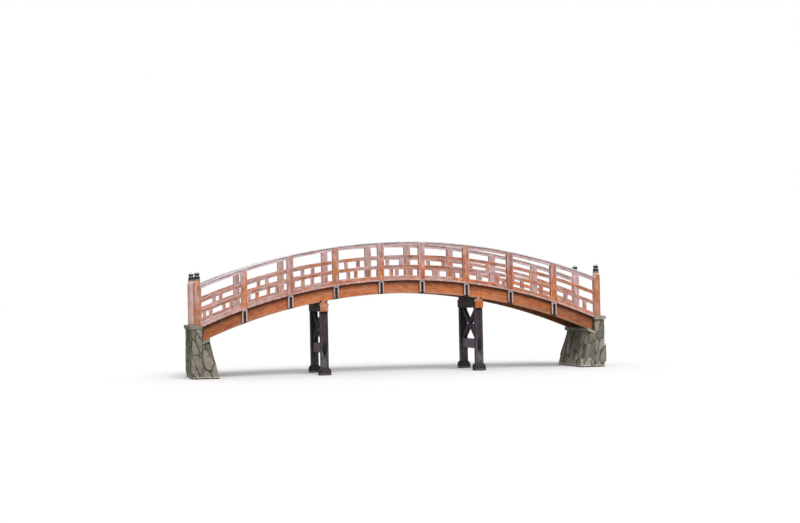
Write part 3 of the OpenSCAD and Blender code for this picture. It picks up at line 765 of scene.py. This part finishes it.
PEAK = [(-CAP_W / 2, 0), (CAP_W / 2, 0), (CAP_W / 2, CAP_SHOULDER), (0, CAP_SHOULDER + CAP_PEAK),
        (-CAP_W / 2, CAP_SHOULDER)]
CAP_HEAD = 0.1
SPAN = 2 * COLUMN_Y - COLUMN_W
for end, hand in ((-1, "left"), (1, "right")):
    x0 = end * PIER_X
    heap = Heap()
    p, f = block(CAP_LEN - 2 * CAP_HEAD + 0.01, CAP_W, CAP_H, 0.006, 8, 2, 0.001)
    heap.add(crosswise(p, x0, CAP_Z + CAP_H / 2), f, p, (0.5, 0.5, 0.35))
    for side in (-1, 1):
        p, f = plate(PEAK, CAP_HEAD, 0.005)
        heap.add(moved(p, x0, side * (CAP_LEN - CAP_HEAD) / 2, CAP_Z), f, p[:, (1, 0, 2, 3)], (0.5, 0.5, 0.35))
    # Painted shade: the beam takes the dark timber, as its sides lie in shade under the deck
    heap.make(f"cap_{hand}_beam", dark_stain_and_shade, "dark_timber", f"cap_{hand}")

    heap = Heap()
    reach = CAP_W / 2 + EAVE_OUT
    eave_z, ridge_z = CAP_SHOULDER - EAVE_OUT * CAP_PEAK / (CAP_W / 2), CAP_SHOULDER + CAP_PEAK
    for side in (-1, 1):
        p, f = plate(PEAK, CAP_BOARD_T, 0.004)
        heap.add(moved(p, x0, side * (CAP_LEN + CAP_BOARD_T) / 2, CAP_Z), f, p, (0.9, 0.4, 0.1))
        roof_y = ROOF_IN + ROOF_W / 2
        for turn in (-1, 1):
            leaf = [(turn * reach, eave_z), (turn * reach, eave_z + EAVE_T), (0, ridge_z + EAVE_T), (0, ridge_z)]
            p, f = plate(leaf if turn > 0 else leaf[::-1], ROOF_W, 0.003)
            heap.add(moved(p, x0, side * roof_y, CAP_Z), f, p, (rng.random(), rng.random(), 0.75))
    heap.make(f"cap_boards_{hand}_boards", caps, "cap_board_timber", f"cap_boards_{hand}")

    for side, which in ((-1, "near"), (1, "far")):
        heap = Heap()
        length = CAP_Z - COLUMN_FOOT
        p, f = block(length, COLUMN_W, COLUMN_W, 0.008, 10, 2, 0.0015)
        q = np.stack((x0 + p[:, 1], side * COLUMN_Y + p[:, 2], COLUMN_FOOT + length / 2 + p[:, 0]), 1)
        heap.add(q, f, p, (0.1 if end < 0 or side > 0 else 0.55, rng.random(), 0.3))
        heap.make(f"column_{which}_{hand}_timber", piers, "pier_timber", f"column_{which}_{hand}")

    heap = Heap()
    p, f = block(SPAN + 0.002, GIRT_T, GIRT_H, 0.006, 6, 2, 0.001)
    heap.add(crosswise(p, x0, GIRT_Z + GIRT_H / 2), f, p, (1.0, 0.4, 1.0))
    p, f = block(TENON_L, TENON_T, TENON_H, 0.006, 2, 2)
    heap.add(crosswise(p, x0, GIRT_Z + GIRT_H / 2), f, p, (0.3, 0.4, 0.2))
    heap.make(f"girt_{hand}_timber", piers, "pier_timber", f"girt_{hand}")

    heap = Heap()
    low = GIRT_Z + GIRT_H
    high = CAP_Z - low
    lean = math.atan2(high, SPAN)
    planes = [((0, -SPAN / 2, 0), (0, -1, 0)), ((0, SPAN / 2, 0), (0, 1, 0)),
              ((0, 0, low), (0, 0, -1)), ((0, 0, CAP_Z), (0, 0, 1))]
    for turn, thin in ((-1, 0.0), (1, 0.002)):
        # Too long at first, then cut to the space between the columns
        p, f = block(BRACE_L, BRACE_W, BRACE_T - thin, 0.006, 4, 2)
        c, sn = math.cos(turn * lean), math.sin(turn * lean)
        q = np.stack((x0 + p[:, 2], p[:, 0] * c - p[:, 1] * sn, low + high / 2 + p[:, 0] * sn + p[:, 1] * c), 1)
        q, f = cut(q, f, planes)
        local = np.stack((q[:, 1] * c + (q[:, 2] - low - high / 2) * sn, q[:, 2] * c - q[:, 1] * sn, q[:, 0]), 1)
        heap.add(q, f, local, (rng.random(), rng.random(), 0.5))
    heap.make(f"cross_brace_{hand}_timbers", piers, "pier_timber", f"cross_brace_{hand}")

    # Footings: rounded, rough and worn
    heap = Heap()
    for side in (-1, 1):
        grid, levels = 40, 16
        points, seed = [], rng.uniform(0, 50)
        for k in range(levels + 1):
            if k < 6:
                half, z = FOOTING_HALF, FOOTING_Z * k / 6
            else:
                a = math.pi / 2 * (k - 6) / (levels - 6)
                half = FOOTING_TOP_HALF + (FOOTING_HALF - FOOTING_TOP_HALF) * math.cos(a)
                z = FOOTING_Z + (FOOTING_TOP - FOOTING_Z) * math.sin(a)
            for i in range(grid):
                t = 2 * math.pi * i / grid
                c, sn = math.cos(t), math.sin(t)
                r = half / (abs(c) ** 7 + abs(sn) ** 7) ** (1 / 7)
                v = Vector((r * c, r * sn, z))
                n = noise.noise(v * 14 + Vector((seed, 0, 0))) * 0.006 - 0.0065
                n += noise.noise(v * 45 + Vector((0, seed, 0))) * 0.0025
                points.append((v.x + c * n, v.y + sn * n, v.z))
        p = np.array(points)
        tint = (0.2 if end < 0 else 0.6, rng.random(), 0.5)
        heap.add(p + (x0, side * COLUMN_Y, 0), skin(levels + 1, grid), p, tint, smooth=True)
    heap.make(f"footings_{hand}_stone", bases, "footing_stone", f"footings_{hand}")


# Abutments

# The stones are tall, and lean as the abutment's face does: distances are measured after this change of shape
LEAN = Matrix(((1.0, 0.0, -0.34), (0.0, 1.0, 0.0), (0.0, 0.0, 0.5)))
METRIC = LEAN.transposed() @ LEAN
# How far back a stone's face may lie, the least thickness of a stone, and the space it leaves beside itself
UNEVEN, THIN, JOINT = 0.045, 0.06, 0.004


def prism(outline, y0, y1):
    """A closed prism from an XZ outline, anticlockwise seen from -Y, as a bmesh"""
    bm = bmesh.new()
    rows = [[bm.verts.new((x, y, z)) for x, z in outline] for y in (y0, y1)]
    n = len(outline)
    bm.faces.new(rows[0])
    bm.faces.new(rows[1][::-1])
    for i in range(n):
        j = (i + 1) % n
        bm.faces.new((rows[0][j], rows[0][i], rows[1][i], rows[1][j]))
    return bm


def dress(heap, bm, round_by, fine, coarse, inward, tint):
    """Rounds a stone's edges, roughens its faces, and marks its ridges and hollows"""
    bmesh.ops.remove_doubles(bm, verts=bm.verts[:], dist=0.004)
    bmesh.ops.dissolve_limit(bm, angle_limit=0.03, verts=bm.verts[:], edges=bm.edges[:])
    size = min((max(v.co[i] for v in bm.verts) - min(v.co[i] for v in bm.verts)) for i in range(3))
    bmesh.ops.bevel(bm, geom=bm.edges[:] + bm.verts[:], offset=min(round_by, size * 0.24), segments=2, profile=0.5,
                    affect="EDGES", clamp_overlap=True)
    bmesh.ops.triangulate(bm, faces=bm.faces[:])
    for _ in range(4):
        long = [e for e in bm.edges if e.calc_length() > fine]
        if not long:
            break
        bmesh.ops.subdivide_edges(bm, edges=long, cuts=1, use_grid_fill=False)
        bmesh.ops.triangulate(bm, faces=[f for f in bm.faces if len(f.verts) > 3])
    bm.normal_update()
    seed = Vector((rng.uniform(0, 90), rng.uniform(0, 90), rng.uniform(0, 90)))
    moves = []
    for v in bm.verts:
        at = LEAN @ v.co
        facet = noise.cell_vector(at * 5 + seed)[0] - 0.5
        n = noise.noise(at * 6 + seed) * 0.7 + noise.noise(at * 19 + seed) * 0.3 + facet * 0.12
        moves.append(v.normal * (n * coarse - inward))
    for v, m in zip(bm.verts, moves):
        v.co += m
        v.co.z = max(v.co.z, 0.0)
    bm.normal_update()
    bm.verts.index_update()
    points = []
    for v in bm.verts:
        edges = [(e.other_vert(v).co - v.co) for e in v.link_edges]
        bend = -sum(d.normalized().dot(v.normal) for d in edges) / max(len(edges), 1)
        points.append((*v.co, max(-1.0, min(1.0, bend * 3.2))))
    p = np.array(points)
    heap.add(p, [tuple(v.index for v in f.verts) for f in bm.faces], p, tint, smooth=True)
    bm.free()


def stones(heap, outline, half_w, seeds, joint, smooth_walls=()):
    """Fills a convex prism, given by its XZ outline and half its width, with irregular stones.
    smooth_walls are the outline's sides, counted from 0, that stay flat."""
    n = len(outline)
    walls = []
    for i in range(n):
        a, b = (Vector((x, 0, z)) for x, z in (outline[i], outline[(i + 1) % n]))
        edge = (b - a).normalized()
        walls.append((a, Vector((edge.z, 0, -edge.x)), 0.0 if i in smooth_walls else UNEVEN))
    walls += [(Vector((0, s * half_w, 0)), Vector((0, s, 0)), UNEVEN) for s in (-1, 1)]
    for s in seeds:
        near = sorted((k for k in seeds if k is not s), key=lambda k: (k - s).dot(METRIC @ (k - s)))[:24]
        bm = prism(outline, -half_w, half_w)
        planes = []
        for k in near:
            normal = (METRIC @ (k - s)).normalized()
            planes.append(((k + s) / 2 - normal * joint, normal))
        planes += [(a - normal * rng.uniform(0.0, rough), normal) for a, normal, rough in walls if rough]
        pare(bm, planes)
        if len(bm.verts) < 4:
            bm.free()
            continue
        # What lies wholly behind the face, and thin slivers, are left out
        inner = all((a - normal * THIN - v.co).dot(normal) > 0
                    for v in bm.verts for a, normal, rough in walls if rough)
        thick = abs(bm.calc_volume(signed=True)) / max(face.calc_area() for face in bm.faces)
        if inner or thick < THIN:
            bm.free()
            continue
        dress(heap, bm, 0.04, 0.07, 0.02, 0.008, (rng.random(), rng.random(), 0.5))


half_w = DECK_W / 2 + 0.06
seat, cope = 0.09, 0.11
seat_z = float(arc_z(GIRDER_LOW, SEAT_X))
wall_z = float(arc_z(GIRDER_LOW, DECK_HALF))
for end, hand in ((-1, "left"), (1, "right")):
    made = Heap()
    seeds = []
    for _ in range(5000):
        x = rng.uniform(ABUT_FOOT - 0.05, ABUT_END + 0.05)
        s = Vector((x, rng.uniform(-1.2, 1.2), rng.uniform(-0.15, 1.5)))
        gap = 0.19 + 0.12 * rng.random()
        if all((s - t).dot(METRIC @ (s - t)) > gap * gap for t in seeds):
            seeds.append(s)
    low_z = ABUT_TOP - cope
    front = [(ABUT_FOOT, 0.0), (DECK_HALF, 0.0), (DECK_HALF, wall_z - seat), (SEAT_X, seat_z - seat)]
    rear = [(DECK_HALF, 0.0), (ABUT_END, 0.0), (ABUT_END, low_z), (DECK_HALF, low_z)]
    stones(made, front, half_w, seeds, JOINT, (0, 1, 2))
    stones(made, rear, half_w, seeds, JOINT, (0, 2, 3))
    # Flat slabs carry the girders and the end posts
    for outline in ([(SEAT_X, seat_z - seat), (DECK_HALF, wall_z - seat), (DECK_HALF, wall_z), (SEAT_X, seat_z)],
                    [(DECK_HALF, low_z), (ABUT_END, low_z), (ABUT_END, ABUT_TOP), (DECK_HALF, ABUT_TOP)]):
        y = -half_w
        while y < half_w - 0.01:
            wide = min(rng.uniform(0.42, 0.7), half_w - y)
            wide = half_w - y if half_w - y - wide < 0.3 else wide
            tint = (rng.random(), rng.random(), 0.5)
            dress(made, prism(outline, y, y + wide - JOINT), 0.009, 0.09, 0.002, 0.001, tint)
            y += wide
    # A core behind the joints
    inner = [(ABUT_FOOT + 0.07, 0.0), (ABUT_END - 0.07, 0.0), (ABUT_END - 0.07, low_z), (DECK_HALF + 0.05, low_z),
             (DECK_HALF + 0.05, wall_z - 0.12), (SEAT_X + 0.06, seat_z - 0.12)]
    p, f = plate(inner, 2 * half_w - 0.13, 0.004)
    made.add(p[:, :3], f, None, (0.0, 0.9, 0.0))
    if end < 0:
        made.points = [q * (-1, 1, 1) for q in made.points]
        made.faces = [f[::-1] for f in made.faces]
    made.make(f"abutment_{hand}_stones", rocks, "abutment_stone", f"abutment_{hand}")


# Camera, light and floor

# The photograph's own viewpoint: place, turns in radians, and focal length in pixels of an image 800 wide
EYE = (-9.6574, -47.4242, 2.3727)
yaw, pitch, roll, focal = 0.2045, 0.0165, 0.0215, 1672.0943
right = Vector((math.cos(yaw), -math.sin(yaw), 0))
ahead = Vector((math.sin(yaw) * math.cos(pitch), math.cos(yaw) * math.cos(pitch), math.sin(pitch)))
up = right.cross(ahead)
across = right * math.cos(roll) - up * math.sin(roll)
rise = right * math.sin(roll) + up * math.cos(roll)
eye = bpy.data.cameras.new("camera")
eye.sensor_width = 36
eye.lens = focal / 800 * 36
camera = bpy.data.objects.new("camera", eye)
bpy.context.scene.collection.objects.link(camera)
camera.matrix_world = Matrix((
    (across.x, rise.x, -ahead.x, EYE[0]),
    (across.y, rise.y, -ahead.y, EYE[1]),
    (across.z, rise.z, -ahead.z, EYE[2]),
    (0, 0, 0, 1)))
bpy.context.scene.camera = camera
bpy.context.scene.view_settings.view_transform = "Standard"

world = bpy.data.worlds.new("studio")
bpy.context.scene.world = world
world.use_nodes = True
tree = world.node_tree
soft = tree.nodes["Background"]
soft.inputs[0].default_value = (1, 1, 1, 1)
soft.inputs[1].default_value = 1.0
back = tree.nodes.new("ShaderNodeBackground")
back.inputs[0].default_value = (1, 1, 1, 1)
back.inputs[1].default_value = 1.0
# The studio is brighter above than below
look = tree.nodes.new("ShaderNodeTexCoord")
height = tree.nodes.new("ShaderNodeSeparateXYZ")
ramp = tree.nodes.new("ShaderNodeMapRange")
for i, v in enumerate((0.0, -0.25, 0.5, 0.3, 0.62)):
    ramp.inputs[i].default_value = v
tree.links.new(look.outputs["Generated"], height.inputs[0])
tree.links.new(height.outputs[2], ramp.inputs[0])
tree.links.new(ramp.outputs[0], soft.inputs[1])
path = tree.nodes.new("ShaderNodeLightPath")
blend = tree.nodes.new("ShaderNodeMixShader")
tree.links.new(path.outputs["Is Camera Ray"], blend.inputs[0])
tree.links.new(soft.outputs[0], blend.inputs[1])
tree.links.new(back.outputs[0], blend.inputs[2])
tree.links.new(blend.outputs[0], tree.nodes["World Output"].inputs[0])

lamp = bpy.data.lights.new("key", "SUN")
lamp.energy = 2.6
lamp.angle = math.radians(38)
key = bpy.data.objects.new("key", lamp)
bpy.context.scene.collection.objects.link(key)
key.rotation_mode = "QUATERNION"
key.rotation_quaternion = Vector((-0.04, 0.70, -0.76)).to_track_quat("-Z", "Y")

floor_mesh = bpy.data.meshes.new("floor")
far = 300
corners = [(x * far, y * far, -0.002) for x, y in ((-1, -1), (1, -1), (1, 1), (-1, 1))]
floor_mesh.from_pydata(corners, [], [(0, 1, 2, 3)])
paper = bpy.data.materials.new("floor")
paper.use_nodes = True
paper.node_tree.nodes["Principled BSDF"].inputs["Base Color"].default_value = (0.86, 0.86, 0.85, 1)
paper.node_tree.nodes["Principled BSDF"].inputs["Roughness"].default_value = 0.9
floor_mesh.materials.append(paper)
floor = bpy.data.objects.new("floor", floor_mesh)
bpy.context.scene.collection.objects.link(floor)
floor.visible_diffuse = False
floor.visible_glossy = False
